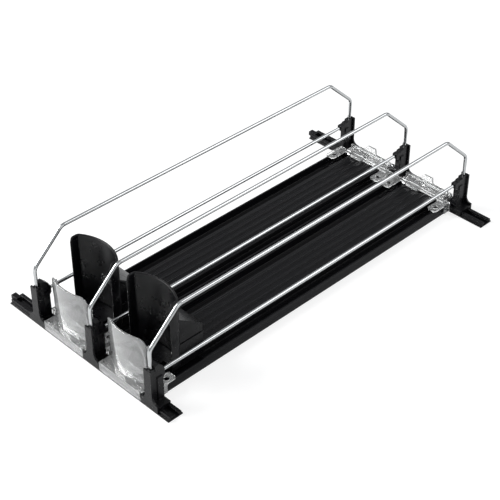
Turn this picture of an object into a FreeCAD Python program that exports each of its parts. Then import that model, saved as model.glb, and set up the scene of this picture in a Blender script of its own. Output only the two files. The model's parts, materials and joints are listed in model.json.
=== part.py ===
"""Two-lane self-feeding can organizer for a fridge shelf.

Frame: +X across the lanes, -Y towards the open front, +Z up, millimetres.
The origin is on the shelf, below the middle of the whole organizer.
"""
import FreeCAD, Part
import math
import os

import Sketcher

Vector = FreeCAD.Vector
Rotation = FreeCAD.Rotation

# Driving dimensions: one cell each, with what it measures
DIMENSIONS = {
    "lane_pitch": (74.5, "from one divider wire to the next"),
    "rail_spacing": (393.8, "from the front rail's front edge to the rear rail's"),
    "rail_width": (16.0, "rail plate, front to back"),
    "rail_plate": (1.2, "thickness of the rail's bottom plate"),
    "rail_inset": (1.6, "how far the channel stands in from the plate's edges"),
    "rail_height": (4.5, "height of the rail's channel"),
    "rail_wall": (1.6, "thickness of the channel's two walls"),
    "rail_lip": (1.2, "thickness of the lips beside the slot"),
    "slot_width": (6.0, "open slot along the rail"),
    "tongue_reach": (5.5, "joining tongue beyond the rail's left end"),
    "tongue_root": (4.0, "length of the tongue inside the slot"),
    "front_rail_left": (115.0, "front rail's plate left of the middle divider"),
    "front_rail_right": (98.5, "front rail's plate right of the middle divider"),
    "rear_rail_left": (118.0, "rear rail's plate left of the middle divider"),
    "rear_rail_right": (111.0, "rear rail's plate right of the middle divider"),
    "seat_gap": (0.3, "clearance of what slides or plugs together"),
    "foot_width": (21.5, "foot of a post, across the lanes"),
    "foot_height": (8.1, "top of a post's foot above the shelf"),
    "foot_core_height": (6.6, "top of the foot's core behind its face plate"),
    "foot_round": (6.0, "hollow round between foot and bar"),
    "face_plate": (1.8, "thickness of a post's face plate"),
    "bar_width": (8.8, "face plate of the bar, across the lanes"),
    "web_width": (5.2, "a post's web behind the face plate"),
    "block_width": (7.2, "a post's block on the web"),
    "block_height": (30.3, "top of that block"),
    "block_setback": (7.8, "block behind the face plate's outer face"),
    "front_bar_height": (41.0, "front post's face plate and wire socket"),
    "front_cap_height": (44.5, "front post's cap behind its wire"),
    "cap_slope": (4.5, "sloped back edge of the cap"),
    "nose_reach": (2.2, "socket for the lower wire behind the front post"),
    "nose_height": (7.0, "height of that socket"),
    "rear_hook": (1.6, "rear post's face plate behind the rear rail"),
    "rear_plate_height": (39.0, "rear post's face plate"),
    "rear_top_step": (2.0, "rear post's top tier above its middle tier"),
    "rear_top_place": (8.9, "front of the top tier behind the rail's front edge"),
    "rear_tier_step": (1.2, "rear post's middle tier above the lower wire's socket"),
    "rear_web_place": (4.6, "front of the middle tier and web behind the rail's front edge"),
    "rear_nose_reach": (1.4, "socket for the lower wire ahead of the rail's front edge"),
    "rear_nose_height": (5.4, "height of that socket"),
    "rear_shoulder_place": (1.6, "shoulder on the foot behind the rail's front edge"),
    "rear_shoulder_height": (16.0, "top of that shoulder"),
    "wire_diameter": (3.5, "round wire"),
    "wire_fit": (0.05, "wire's clearance in its square sockets, each side"),
    "wire_inset": (3.8, "upper wire's leg behind the post's outer face"),
    "wire_shoulder": (60.0, "height where the legs bend into the slants"),
    "wire_top": (89.2, "height of the upper wire's long run"),
    "wire_slant": (32.2, "front-to-back run of each slant"),
    "wire_bend": (9.0, "bend radius on the wire's centre line"),
    "lower_wire_height": (32.7, "height of the straight lower wire"),
    "socket_depth": (8.0, "how deep the wires sit in the posts"),
    "tray_width": (66.4, "tray over its walls"),
    "tray_height": (10.0, "tray walls above the shelf"),
    "tray_wall": (1.6, "thickness of the tray's walls"),
    "tray_floor": (1.8, "thickness of the channels' floor"),
    "tray_gap": (0.4, "between the tray's ends and the rails"),
    "runway_width": (40.0, "raised runway over its edge lips"),
    "runway_height": (9.0, "runway's skin above the shelf"),
    "runway_lip": (1.5, "edge lip beyond the runway's wall"),
    "lip_thickness": (1.6, "thickness of the edge lip"),
    "runway_skin": (1.8, "wall thickness of the hollow runway"),
    "rib_height": (0.8, "height of a glide rib on the runway"),
    "rib_width": (1.6, "width of a glide rib"),
    "rib_pitch": (7.6, "spacing of the glide ribs"),
    "rib_count": (5, "number of glide ribs"),
    "strip_height": (10.5, "clear clip's strip between the feet"),
    "arm_inner": (24.9, "clear arm's inner edge from the lane's middle"),
    "arm_overhang": (1.7, "clear arm beyond the tray's wall"),
    "arm_thickness": (1.5, "thickness of the clear arms"),
    "front_arm_end": (33.2, "end of the front arms behind the rail's front edge"),
    "front_bridge_end": (20.8, "end of the front bridge behind the rail's front edge"),
    "rear_arm_reach": (24.0, "rear arms ahead of the rear rail's front edge"),
    "rear_bridge_reach": (4.4, "rear bridge ahead of the rear rail's front edge"),
    "skirt_length": (8.0, "clear skirt outside the tray's wall"),
    "skirt_lift": (1.5, "skirt above the shelf"),
    "peg_hole": (5.2, "diameter of the round hole in each arm"),
    "hole_setback": (7.0, "hole's centre from the end of the arm"),
    "panel_radius": (50.0, "stop panel's outer face"),
    "panel_apex": (4.6, "stop panel's foremost point behind the rail's front edge"),
    "panel_half": (24.5, "half width of the stop panel"),
    "panel_thickness": (1.8, "wall of the stop panel"),
    "panel_top": (58.0, "top of the stop panel"),
    "panel_corner": (8.0, "round of its top corners"),
    "panel_return": (5.0, "side return of the stop panel"),
    "panel_tab_width": (5.0, "plug tab under the stop panel"),
    "panel_tab_depth": (4.0, "how deep the tab plugs into the strip"),
    "panel_tab_place": (12.0, "tab's middle from the lane's middle"),
    "window_width": (3.6, "window in the strip beside the stop panel"),
    "window_pitch": (5.6, "spacing of the two windows at each end"),
    "window_depth": (2.2, "window, front to back"),
    "window_inset": (2.2, "window behind the strip's front face"),
    "window_sink": (3.5, "depth of a window"),
    "wall_height": (15.6, "rear clip's upright wall"),
    "wall_place": (5.8, "that wall behind the rear rail's front edge"),
    "wall_thickness": (1.4, "thickness of that wall"),
    "tab_height": (23.0, "top of the rear clip's finger tab"),
    "tab_half": (6.4, "half width of the finger tab"),
    "tab_slope": (1.2, "sloped run down from the tab to the wall"),
    "tab_corner": (3.0, "sloped corner at the tab's other side"),
    "lug_left": (16.0, "rear clip's lug: left edge from the lane's middle"),
    "lug_right": (2.0, "rear clip's lug: right edge from the lane's middle"),
    "lug_reach": (7.0, "lug ahead of the rear rail's front edge"),
    "lug_height": (13.0, "top of the lug"),
    "plate_radius": (45.0, "back face of the pusher's plate"),
    "plate_back": (54.1, "rearmost point of the plate behind the rail's front edge"),
    "plate_half": (27.5, "half width of the plate"),
    "plate_thickness": (2.0, "wall of the plate"),
    "plate_bottom": (12.6, "bottom of the plate above the shelf"),
    "plate_top": (82.0, "top of the plate above the shelf"),
    "plate_return": (9.0, "side return of the plate"),
    "plate_round": (5.0, "round between plate and side return"),
    "skirt_wall": (2.45, "sled's wall beside the runway's lip"),
    "housing_back": (74.6, "housing's back face behind the rail's front edge"),
    "housing_back_height": (38.2, "top of the housing at its back face"),
    "housing_rise": (0.704, "slope of the housing's roof"),
    "housing_wall": (1.8, "wall of the housing"),
    "split_height": (30.0, "groove between housing and sled"),
    "split_gap": (0.8, "height of that groove"),
    "lap_height": (3.0, "sled's inner wall above the groove"),
    "lap_thickness": (1.35, "sled's inner wall"),
    "deck_thickness": (1.6, "sled's deck"),
    "grip_reach": (1.2, "sled's grip under the runway's lip"),
    "grip_thickness": (1.6, "thickness of that grip"),
    "nose_width": (24.0, "sled's nose, across the lane"),
    "band_width": (16.0, "spring band, across the lane"),
    "band_thickness": (0.25, "thickness of the spring band"),
    "band_hook": (5.0, "band bent down over the runway's front end"),
    "band_slot": (8.0, "opening in the sled's deck, front to back"),
    "pin_diameter": (5.0, "drum pin"),
    "pin_fit": (0.05, "radial running clearance of the drum on its pin"),
    "pin_seat": (1.5, "how deep the pin sits in the sled's walls"),
    "drum_height": (21.5, "drum pin above the shelf"),
    "drum_place": (63.6, "drum pin behind the rail's front edge"),
    "drum_hub": (11.2, "diameter of the drum under the coil"),
    "drum_overhang": (1.3, "drum beyond each side of the coil"),
    "coil_diameter": (15.2, "outside of the coiled band at rest"),
    "coil_fit": (0.05, "clearance of the coil on the hub"),
}

doc = FreeCAD.newDocument("can_organizer")
sheet = doc.addObject("Spreadsheet::Sheet", "sheet")
for row, (alias, (number, meaning)) in enumerate(DIMENSIONS.items(), start=1):
    sheet.set(f"A{row}", alias)
    sheet.set(f"B{row}", str(number))
    sheet.set(f"C{row}", meaning)
    sheet.setAlias(f"B{row}", alias)
doc.recompute()

SUB_PARTS = []


class Size:
    """A length worked out from the sheet: its number, and the formula that binds it."""

    def __init__(self, number, formula):
        self.number = number
        self.formula = formula

    def joined(self, other, sign, number):
        return Size(number, f"({self.formula} {sign} {size(other).formula})")

    def __add__(self, other):
        return self.joined(other, "+", self.number + size(other).number)

    def __sub__(self, other):
        return self.joined(other, "-", self.number - size(other).number)

    def __mul__(self, other):
        return self.joined(other, "*", self.number * size(other).number)

    def __truediv__(self, other):
        return self.joined(other, "/", self.number / size(other).number)

    def __neg__(self):
        return self * -1


def size(value):
    """Turns a plain number into a Size, and leaves a Size as it is."""
    if isinstance(value, Size):
        return value
    return Size(float(value), f"({value})")


def cell(alias):
    """The size that the sheet holds under this alias."""
    return Size(float(sheet.get(alias)), f"{sheet.Name}.{alias}")


def root(value):
    """The square root of a size's number."""
    return Size(math.sqrt(value.number), f"sqrt({value.formula})")


def bind(thing, place, value):
    """Ties one property of an object to the sheet."""
    thing.setExpression(place, size(value).formula)


def put(thing, x=0, y=0, z=0, turn=None):
    """Places an object by sizes, with an optional fixed turn."""
    base = Vector(size(x).number, size(y).number, size(z).number)
    thing.Placement = FreeCAD.Placement(base, turn or Rotation())
    for axis, value in zip("xyz", (x, y, z)):
        bind(thing, f"Placement.Base.{axis}", value)
    return thing


def sub_part(thing, label, x=0, y=0, z=0, turn=None):
    """Names a finished sub-part, places it and lists it for the export."""
    thing.Label = label
    put(thing, x, y, z, turn)
    SUB_PARTS.append(thing)
    return thing


# Part primitives and booleans

def block(x_span, y_span, z_span):
    """A box between two sizes along each axis."""
    thing = doc.addObject("Part::Box", "block")
    for name, (low, high) in zip(("Length", "Width", "Height"), (x_span, y_span, z_span)):
        bind(thing, name, size(high) - low)
    return put(thing, x_span[0], y_span[0], z_span[0])


def cylinder(radius, length, x=0, y=0, z=0, turn=None):
    """A cylinder, upright unless turned."""
    thing = doc.addObject("Part::Cylinder", "cylinder")
    bind(thing, "Radius", radius)
    bind(thing, "Height", length)
    return put(thing, x, y, z, turn)


def fuse(*things):
    joined = doc.addObject("Part::MultiFuse", "fuse")
    joined.Shapes = list(things)
    joined.Refine = True
    return joined


def common(*things):
    shared = doc.addObject("Part::MultiCommon", "common")
    shared.Shapes = list(things)
    return shared


def cut(base, tool):
    rest = doc.addObject("Part::Cut", "cut")
    rest.Base = base
    rest.Tool = tool
    rest.Refine = True
    return rest


def round_off(base, radius, wanted):
    """Rounds the edges of a boolean's shape that the test picks."""
    doc.recompute()
    rounded = doc.addObject("Part::Fillet", "rounded")
    rounded.Base = base
    edges = [(number, radius.number, radius.number)
             for number, edge in enumerate(base.Shape.Edges, start=1) if wanted(edge)]
    rounded.Edges = edges
    return rounded


# Bodies with sketches

PLANES = {"side": ("YZ_Plane", 1), "front": ("XZ_Plane", -1), "plan": ("XY_Plane", 1)}


def new_body(name):
    return doc.addObject("PartDesign::Body", name)


def sketch_on(body, plane, start, loops=(), circles=()):
    """A sketch at a distance along the plane's axis, with each corner tied to the sheet.

    A side sketch holds (Y, Z), a front sketch (X, Z) and a plan sketch (X, Y).
    """
    role, sign = PLANES[plane]
    sketch = body.newObject("Sketcher::SketchObject", "sketch")
    origin_plane = [item for item in body.Origin.OriginFeatures if item.Role == role][0]
    sketch.AttachmentSupport = (origin_plane, "")
    sketch.MapMode = "FlatFace"
    bind(sketch, "AttachmentOffset.Base.z", size(start) * sign)
    for corners in loops:
        add_loop(sketch, [(size(u), size(v)) for u, v in corners])
    for u, v, radius in circles:
        add_circle(sketch, size(u), size(v), size(radius))
    return sketch


def add_loop(sketch, corners):
    """A closed outline of straight lines."""
    first = sketch.GeometryCount
    count = len(corners)
    points = [Vector(u.number, v.number, 0) for u, v in corners]
    lines = [Part.LineSegment(points[i], points[(i + 1) % count]) for i in range(count)]
    sketch.addGeometry(lines, False)
    for i in range(count):
        sketch.addConstraint(Sketcher.Constraint("Coincident", first + i, 2, first + (i + 1) % count, 1))
    for i, corner in enumerate(corners):
        tie_point(sketch, first + i, 1, corner)


def add_circle(sketch, u, v, radius):
    """A circle with its centre and radius tied to the sheet."""
    ring = sketch.addGeometry(Part.Circle(Vector(u.number, v.number, 0), Vector(0, 0, 1), radius.number), False)
    tie_point(sketch, ring, 3, (u, v))
    index = sketch.addConstraint(Sketcher.Constraint("Radius", ring, radius.number))
    bind(sketch, f"Constraints[{index}]", radius)


def tie_point(sketch, geometry, point, place):
    """Ties a sketch point's two distances from the origin to the sheet."""
    for kind, value in zip(("DistanceX", "DistanceY"), place):
        constraint = Sketcher.Constraint(kind, -1, 1, geometry, point, value.number)
        index = sketch.addConstraint(constraint)
        bind(sketch, f"Constraints[{index}]", value)


def pad(body, plane, start, length, loops):
    """Adds an extrusion that runs from start along the plane's axis."""
    feature = body.newObject("PartDesign::Pad", "pad")
    feature.Profile = sketch_on(body, plane, start, loops)
    bind(feature, "Length", length)
    feature.Reversed = plane == "front"
    return feature


def pocket(body, plane, start, length, loops=(), circles=()):
    """Cuts from start along the plane's axis, and checks that it removed something."""
    doc.recompute()
    before = body.Shape.Volume
    feature = body.newObject("PartDesign::Pocket", "pocket")
    feature.Profile = sketch_on(body, plane, start, loops, circles)
    bind(feature, "Length", length)
    feature.Reversed = plane != "front"
    doc.recompute()
    if body.Shape.Volume > before - 0.01:
        raise ValueError(f"{body.Name}: a pocket cuts nothing")
    return feature


def picked_edges(body, wanted):
    """The body's last feature, with the names of its edges that the test picks."""
    doc.recompute()
    tip = body.Tip
    return tip, [f"Edge{number}" for number, edge in enumerate(tip.Shape.Edges, start=1) if wanted(edge)]


def soften(body, radius, wanted):
    """Rounds the edges of a body that the test picks."""
    base = picked_edges(body, wanted)
    feature = body.newObject("PartDesign::Fillet", "soft_edges")
    feature.Base = base
    bind(feature, "Radius", radius)
    return feature


def runs_along(edge, axis):
    """True for a straight edge along the axis."""
    if edge.Curve.TypeId != "Part::GeomLine":
        return False
    direction = edge.Vertexes[-1].Point - edge.Vertexes[0].Point
    return abs(direction.normalize().dot(axis)) > 0.999


def near(value, target):
    return abs(value - target) < 0.01


def rectangle(u_span, v_span):
    """The corners of a rectangle."""
    (u_low, u_high), (v_low, v_high) = u_span, v_span
    return [(u_low, v_low), (u_high, v_low), (u_high, v_high), (u_low, v_high)]


def mirrored(half):
    """A symmetric outline from its right half, listed from bottom to top."""
    return list(half) + [(-u, v) for u, v in reversed(half)]


# Places that several sub-parts share

lane_pitch = cell("lane_pitch")
seat_gap = cell("seat_gap")
rail_width = cell("rail_width")
middle_x = (cell("rear_rail_left") + cell("tongue_reach") - cell("rear_rail_right")) / 2
rear_face = rail_width + cell("rear_hook")
front_y = -(cell("rail_spacing") + rear_face) / 2
rear_y = front_y + cell("rail_spacing")
channel_back = rail_width - cell("rail_inset")
slot_middle = rail_width / 2
foot_half = cell("foot_width") / 2
bar_half = cell("bar_width") / 2
wire_radius = cell("wire_diameter") / 2
wire_hole = wire_radius + cell("wire_fit")
lower_wire_height = cell("lower_wire_height")
tray_half = cell("tray_width") / 2
tray_length = cell("rail_spacing") - rail_width - cell("tray_gap") * 2
runway_half = cell("runway_width") / 2
runway_wall_half = runway_half - cell("runway_lip")
rib_top = cell("runway_height") + cell("rib_height")
strip_half = lane_pitch / 2 - foot_half - seat_gap
arm_bottom = cell("tray_height") + seat_gap
arm_top = arm_bottom + cell("arm_thickness")
arm_outer = tray_half + cell("arm_overhang")
housing_half = runway_half + seat_gap + cell("skirt_wall")
lap_half = housing_half - cell("housing_wall") - seat_gap
well_half = lap_half - cell("lap_thickness")
LANES = {"left": middle_x - lane_pitch / 2, "right": middle_x + lane_pitch / 2}
DIVIDERS = {"left": middle_x - lane_pitch, "middle": middle_x, "right": middle_x + lane_pitch}


def saddle(depth, top, back=()):
    """Side outline of a piece that sits on a rail, with its key in the rail's slot.

    The corners run from the skirt in front of the rail, round the key, to the top at the back.
    """
    inset = cell("rail_inset")
    plate = cell("rail_plate")
    height = cell("rail_height")
    neck = cell("slot_width") / 2 - seat_gap
    head = rail_width / 2 - inset - cell("rail_wall") - seat_gap
    head_low = plate + seat_gap
    head_high = height - cell("rail_lip") - seat_gap
    seat = height + seat_gap
    skirt = [(0, head_low), (inset - seat_gap, head_low), (inset - seat_gap, seat)]
    key = [(-neck, seat), (-neck, head_high), (-head, head_high), (-head, head_low),
           (head, head_low), (head, head_high), (neck, head_high), (neck, seat)]
    centred_key = [(slot_middle + u, v) for u, v in key]
    return skirt + centred_key + list(back or [(depth, seat)]) + [(depth, top), (0, top)]


# Rails

def rail(label, left, right, y):
    """A rail: an open channel on a wider plate, with a joining tongue at its left end."""
    body = new_body(label)
    inset = cell("rail_inset")
    plate = cell("rail_plate")
    height = cell("rail_height")
    outer = rail_width / 2 - inset
    inner = outer - cell("rail_wall")
    slot = cell("slot_width") / 2
    lip_low = height - cell("rail_lip")
    right_half = [(rail_width / 2, 0), (rail_width / 2, plate), (outer, plate), (outer, height),
                  (slot, height), (slot, lip_low), (inner, lip_low), (inner, plate)]
    section = [(slot_middle + u, v) for u, v in mirrored(right_half)]
    pad(body, "side", -left, left + right, [section])
    tongue_half = slot - seat_gap
    tongue = rectangle((slot_middle - tongue_half, slot_middle + tongue_half), (0, height))
    pad(body, "side", -left - cell("tongue_reach"), cell("tongue_reach") + cell("tongue_root"), [tongue])
    sub_part(body, label, middle_x, y)


# Divider posts

def face_plate(body, low_y, bottom, top):
    """A post's outer plate: a wide foot that runs into the bar through hollow rounds."""
    foot_top = cell("foot_height")
    half_outline = [(foot_half, bottom), (foot_half, foot_top), (bar_half, foot_top), (bar_half, top)]
    pad(body, "front", low_y, cell("face_plate"), [mirrored(half_outline)])

    def inner_corner(edge):
        middle = edge.CenterOfMass
        return runs_along(edge, Vector(0, 1, 0)) and near(abs(middle.x), bar_half.number) \
            and near(middle.z, foot_top.number)
    soften(body, cell("foot_round"), inner_corner)


def upright(body, width, outline):
    """An upright slice of a post, centred on its wire, from its side outline."""
    pad(body, "side", -cell(width) / 2, cell(width), [outline])


def wire_sockets(body, place, bottom, top, start, depth):
    """Square sockets for the two wires: one down from the top, one along the lane from start."""
    pocket(body, "plan", bottom, top - bottom,
           [rectangle((-wire_hole, wire_hole), (place - wire_hole, place + wire_hole))])
    pocket(body, "front", start, depth,
           [rectangle((-wire_hole, wire_hole), (lower_wire_height - wire_hole, lower_wire_height + wire_hole))])


def front_post(label, x):
    """A front post: keyed foot, face plate, web, block, cap and socket for the lower wire."""
    body = new_body(label)
    base = cell("foot_core_height") - seat_gap
    cap = cell("front_cap_height")
    slope = cell("cap_slope")
    bar_top = cell("front_bar_height")
    nose_y = channel_back + cell("nose_reach")
    nose_low = lower_wire_height - cell("nose_height") / 2
    nose_high = lower_wire_height + cell("nose_height") / 2
    cap_front = cell("wire_inset") + wire_hole
    cap_low = nose_high + cell("nose_reach")
    inside = cell("face_plate") / 2
    face_plate(body, size(0), cell("rail_height") + seat_gap, bar_top)
    pad(body, "side", -foot_half, cell("foot_width"), [saddle(channel_back, cell("foot_core_height"))])
    upright(body, "web_width",
            [(inside, base), (channel_back, base), (channel_back, nose_low - cell("nose_reach")),
             (nose_y, nose_low), (nose_y, nose_high), (channel_back, cap_low),
             (channel_back, cap - slope), (channel_back - slope, cap), (cap_front, cap),
             (cap_front, bar_top), (inside, bar_top)])
    upright(body, "block_width",
            rectangle((cell("block_setback"), channel_back - seat_gap), (base, cell("block_height"))))
    upright(body, "block_width",
            [(cap_front + seat_gap, cap_low), (channel_back - seat_gap, cap_low),
             (channel_back - seat_gap, cap - slope), (channel_back - slope, cap - seat_gap),
             (cap_front + seat_gap, cap - seat_gap)])
    depth = cell("socket_depth")
    wire_sockets(body, cell("wire_inset"), bar_top - depth, cap, nose_y - depth, depth)
    sub_part(body, label, x, front_y)


def rear_post(label, x):
    """A rear post: keyed foot, face plate hooked behind the rail, and a web that falls in tiers."""
    body = new_body(label)
    base = cell("foot_core_height") - seat_gap
    nose = -cell("rear_nose_reach")
    web = cell("rear_web_place")
    low = lower_wire_height - cell("rear_nose_height") / 2
    high = lower_wire_height + cell("rear_nose_height") / 2
    tier = high + cell("rear_tier_step")
    top = tier + cell("rear_top_step")
    plate_inner = rear_face - cell("face_plate")
    inside = rear_face - cell("face_plate") / 2
    key_back = [(rail_width - seat_gap, cell("rail_height") + seat_gap)]
    face_plate(body, plate_inner, cell("rail_plate") + seat_gap, cell("rear_plate_height"))
    pad(body, "side", -foot_half, cell("foot_width"),
        [saddle(rail_width - seat_gap, cell("foot_core_height"), key_back)])
    link = rectangle((rail_width - seat_gap * 2, inside), (cell("rail_height") + seat_gap, cell("foot_core_height")))
    pad(body, "side", -foot_half, cell("foot_width"), [link])
    upright(body, "web_width",
            [(web, base), (inside, base), (inside, top), (cell("rear_top_place"), top),
             (cell("rear_top_place"), tier), (web, tier), (web, high), (nose, high), (nose, low),
             (web, low - (web - nose) * 2 / 3)])
    upright(body, "block_width",
            rectangle((cell("rear_shoulder_place") + seat_gap, rear_face - cell("block_setback")),
                      (base, cell("rear_shoulder_height"))))
    upright(body, "block_width",
            rectangle((web + seat_gap, rear_face - cell("block_setback")), (base, cell("block_height"))))
    depth = cell("socket_depth")
    wire_sockets(body, rear_face - cell("wire_inset"), cell("rear_plate_height") - depth, top, nose, depth)
    sub_part(body, label, x, rear_y)


# Divider wires

def bent_path(points, radius):
    """Straight runs joined at each bend by a chord of the bend's arc, which keeps the facets few."""
    route = [points[0]]
    for before, corner, after in zip(points, points[1:], points[2:]):
        arriving = (corner - before).normalize()
        leaving = (after - corner).normalize()
        turn = arriving.getAngle(leaving)
        setback = radius * math.tan(turn / 2)
        route.extend([corner - arriving * setback, corner + leaving * setback])
    route.append(points[-1])
    return Part.makePolygon(route)


def upper_wire(label, x):
    """The tall bent wire of a divider, swept with mitred corners."""
    front_leg = front_y + cell("wire_inset")
    rear_leg = rear_y + rear_face - cell("wire_inset")
    slant = cell("wire_slant")
    shoulder = cell("wire_shoulder")
    level = cell("wire_top")
    depth = cell("socket_depth")
    route = [(front_leg, cell("front_bar_height") - depth), (front_leg, shoulder),
             (front_leg + slant, level), (rear_leg - slant, level),
             (rear_leg, shoulder), (rear_leg, cell("rear_plate_height") - depth)]
    points = [Vector(0, y.number, z.number) for y, z in route]
    path = bent_path(points, cell("wire_bend").number)
    section = Part.Wire(Part.makeCircle(wire_radius.number, points[0], Vector(0, 0, 1)))
    wire = doc.addObject("Part::Feature", label)
    right_corner = 1
    wire.Shape = path.makePipeShell([section], True, True, right_corner)
    sub_part(wire, label, x)


def lower_wire(label, x):
    """The straight wire between a front post's socket and a rear post's."""
    depth = cell("socket_depth")
    start = front_y + channel_back + cell("nose_reach") - depth
    end = rear_y - cell("rear_nose_reach") + depth
    along_y = Rotation(Vector(1, 0, 0), -90)
    wire = cylinder(wire_radius, end - start)
    sub_part(wire, label, x, start, lower_wire_height, along_y)


# Trays

def tray(label, x):
    """A tray: two walls, two channels and a hollow runway with edge lips and glide ribs."""
    body = new_body(label)
    wall = cell("tray_wall")
    floor = cell("tray_floor")
    skin = cell("runway_skin")
    level = cell("runway_height")
    lip_low = level - cell("lip_thickness")
    hollow = runway_wall_half - skin
    right_half = [(hollow, level - skin), (hollow, 0), (tray_half, 0), (tray_half, cell("tray_height")),
                  (tray_half - wall, cell("tray_height")), (tray_half - wall, floor),
                  (runway_wall_half, floor), (runway_wall_half, lip_low), (runway_half, lip_low),
                  (runway_half, level)]
    pad(body, "front", 0, tray_length, [mirrored(right_half)])
    span = cell("rib_pitch") * (cell("rib_count") - 1)
    rib_left = -span / 2 - cell("rib_width") / 2
    rib = rectangle((rib_left, rib_left + cell("rib_width")), (level - skin / 2, rib_top))
    first_rib = pad(body, "front", 0, tray_length, [rib])
    ribs = body.newObject("PartDesign::LinearPattern", "ribs")
    ribs.Originals = [first_rib]
    ribs.Direction = (first_rib.Profile[0], ["H_Axis"])
    bind(ribs, "Length", span)
    bind(ribs, "Occurrences", cell("rib_count"))
    body.Tip = ribs
    sub_part(body, label, x, front_y + rail_width + cell("tray_gap"))


# Clear end pieces

def arm_skirts(body, low, high):
    """Skirts outside the tray's walls, from low to high along Y."""
    inner = tray_half + seat_gap
    loops = [rectangle((side * inner, side * arm_outer), (low, high)) for side in (size(-1), size(1))]
    pad(body, "plan", cell("skirt_lift"), arm_top - cell("skirt_lift"), loops)


def arm_holes(body, y):
    """The round hole in each arm."""
    middle = (cell("arm_inner") + arm_outer) / 2
    circles = [(side * middle, y, cell("peg_hole") / 2) for side in (size(-1), size(1))]
    pocket(body, "plan", cell("skirt_lift"), arm_top, circles=circles)


def arm_ends(body, y):
    """Cuts the free corners of the two arms at a slant."""
    def wanted(edge):
        return runs_along(edge, Vector(0, 0, 1)) and near(edge.CenterOfMass.y, size(y).number)
    base = picked_edges(body, wanted)
    feature = body.newObject("PartDesign::Chamfer", "slanted_corners")
    feature.Base = base
    bind(feature, "Size", cell("arm_thickness"))


def front_clip(label, x):
    """A front clip: strip on the rail, bridge over the tray's end, two arms, windows and slots."""
    body = new_body(label)
    end = cell("front_arm_end")
    bridge = cell("front_bridge_end")
    near_edge = channel_back + cell("tray_gap")
    neck = cell("panel_half") - cell("panel_tab_width") + seat_gap
    neck_front = channel_back - cell("rail_inset") * 1.5
    pad(body, "side", -strip_half, strip_half * 2, [saddle(channel_back, cell("strip_height"))])
    arms = mirrored([(neck, neck_front), (neck, near_edge), (arm_outer, near_edge), (arm_outer, end),
                     (cell("arm_inner"), end), (cell("arm_inner"), bridge)])
    pad(body, "plan", arm_bottom, cell("arm_thickness"), [arms])
    arm_skirts(body, near_edge + cell("tray_gap") * 2, near_edge + cell("skirt_length"))
    arm_ends(body, end)
    arm_holes(body, end - cell("hole_setback"))
    windows = []
    slots = []
    for side in (size(-1), size(1)):
        for step in (0, 1):
            middle = side * (strip_half - cell("window_pitch") * step - cell("window_width"))
            span = (middle - cell("window_width") / 2, middle + cell("window_width") / 2)
            low = cell("window_inset")
            windows.append(rectangle(span, (low, low + cell("window_depth"))))
        slots.append(panel_tab_outline(side, seat_gap / 2))
    pocket(body, "plan", cell("strip_height") - cell("window_sink"), cell("strip_height"), windows)
    pocket(body, "plan", cell("strip_height") - cell("panel_tab_depth") - seat_gap, cell("strip_height"), slots)
    sub_part(body, label, x, front_y)


def panel_tab_outline(side, room):
    """Plan outline of one plug tab of the stop panel, widened by the room given."""
    half = cell("panel_tab_width") / 2
    middle = side * cell("panel_tab_place")
    front = panel_front_at(cell("panel_tab_place") + half)
    back = panel_front_at(cell("panel_tab_place") - half) + cell("panel_thickness")
    return rectangle((middle - half - room, middle + half + room), (front - room, back + room))


def panel_front_at(offset):
    """How far back the panel's front face lies at an offset from the lane's middle."""
    radius = cell("panel_radius")
    return cell("panel_apex") + radius - root(radius * radius - offset * offset)


def stop_panel(label, x):
    """A stop panel: an upright curved wall with side returns, rounded corners and plug tabs."""
    radius = cell("panel_radius")
    half = cell("panel_half")
    wall = cell("panel_thickness")
    low = cell("strip_height")
    top = cell("panel_top")
    centre_y = cell("panel_apex") + radius
    side_y = panel_front_at(half)
    outer = cylinder(radius, top - low, 0, centre_y, low)
    inner = cylinder(radius - wall, top - low, 0, centre_y, low)
    front_half = block((-half, half), (0, side_y + wall), (low, top))
    curve = common(cut(outer, inner), front_half)
    returns = [block((min(side * half, side * (half - wall), key=lambda value: value.number),
                      max(side * half, side * (half - wall), key=lambda value: value.number)),
                     (side_y + wall / 4, side_y + cell("panel_return")),
                     (arm_top + seat_gap, top)) for side in (size(-1), size(1))]
    walls = fuse(curve, *returns)
    frame = new_body("corner_frame")
    pad(frame, "front", 0, side_y + cell("panel_return") + wall,
        [rectangle((-half, half), (low, top))])
    soften(frame, cell("panel_corner"),
           lambda edge: runs_along(edge, Vector(0, 1, 0)) and near(edge.CenterOfMass.z, top.number))
    tabs = new_body("plug_tabs")
    pad(tabs, "plan", low - cell("panel_tab_depth"), cell("panel_tab_depth") + wall / 2,
        [panel_tab_outline(size(-1), size(0)), panel_tab_outline(size(1), size(0))])
    tab_shape = cut(tabs, cylinder(radius - wall, top, 0, centre_y, 0))
    ring = cylinder(radius, top, 0, centre_y, 0)
    panel = fuse(common(walls, frame), common(tab_shape, ring))
    sub_part(panel, label, x, front_y)


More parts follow.
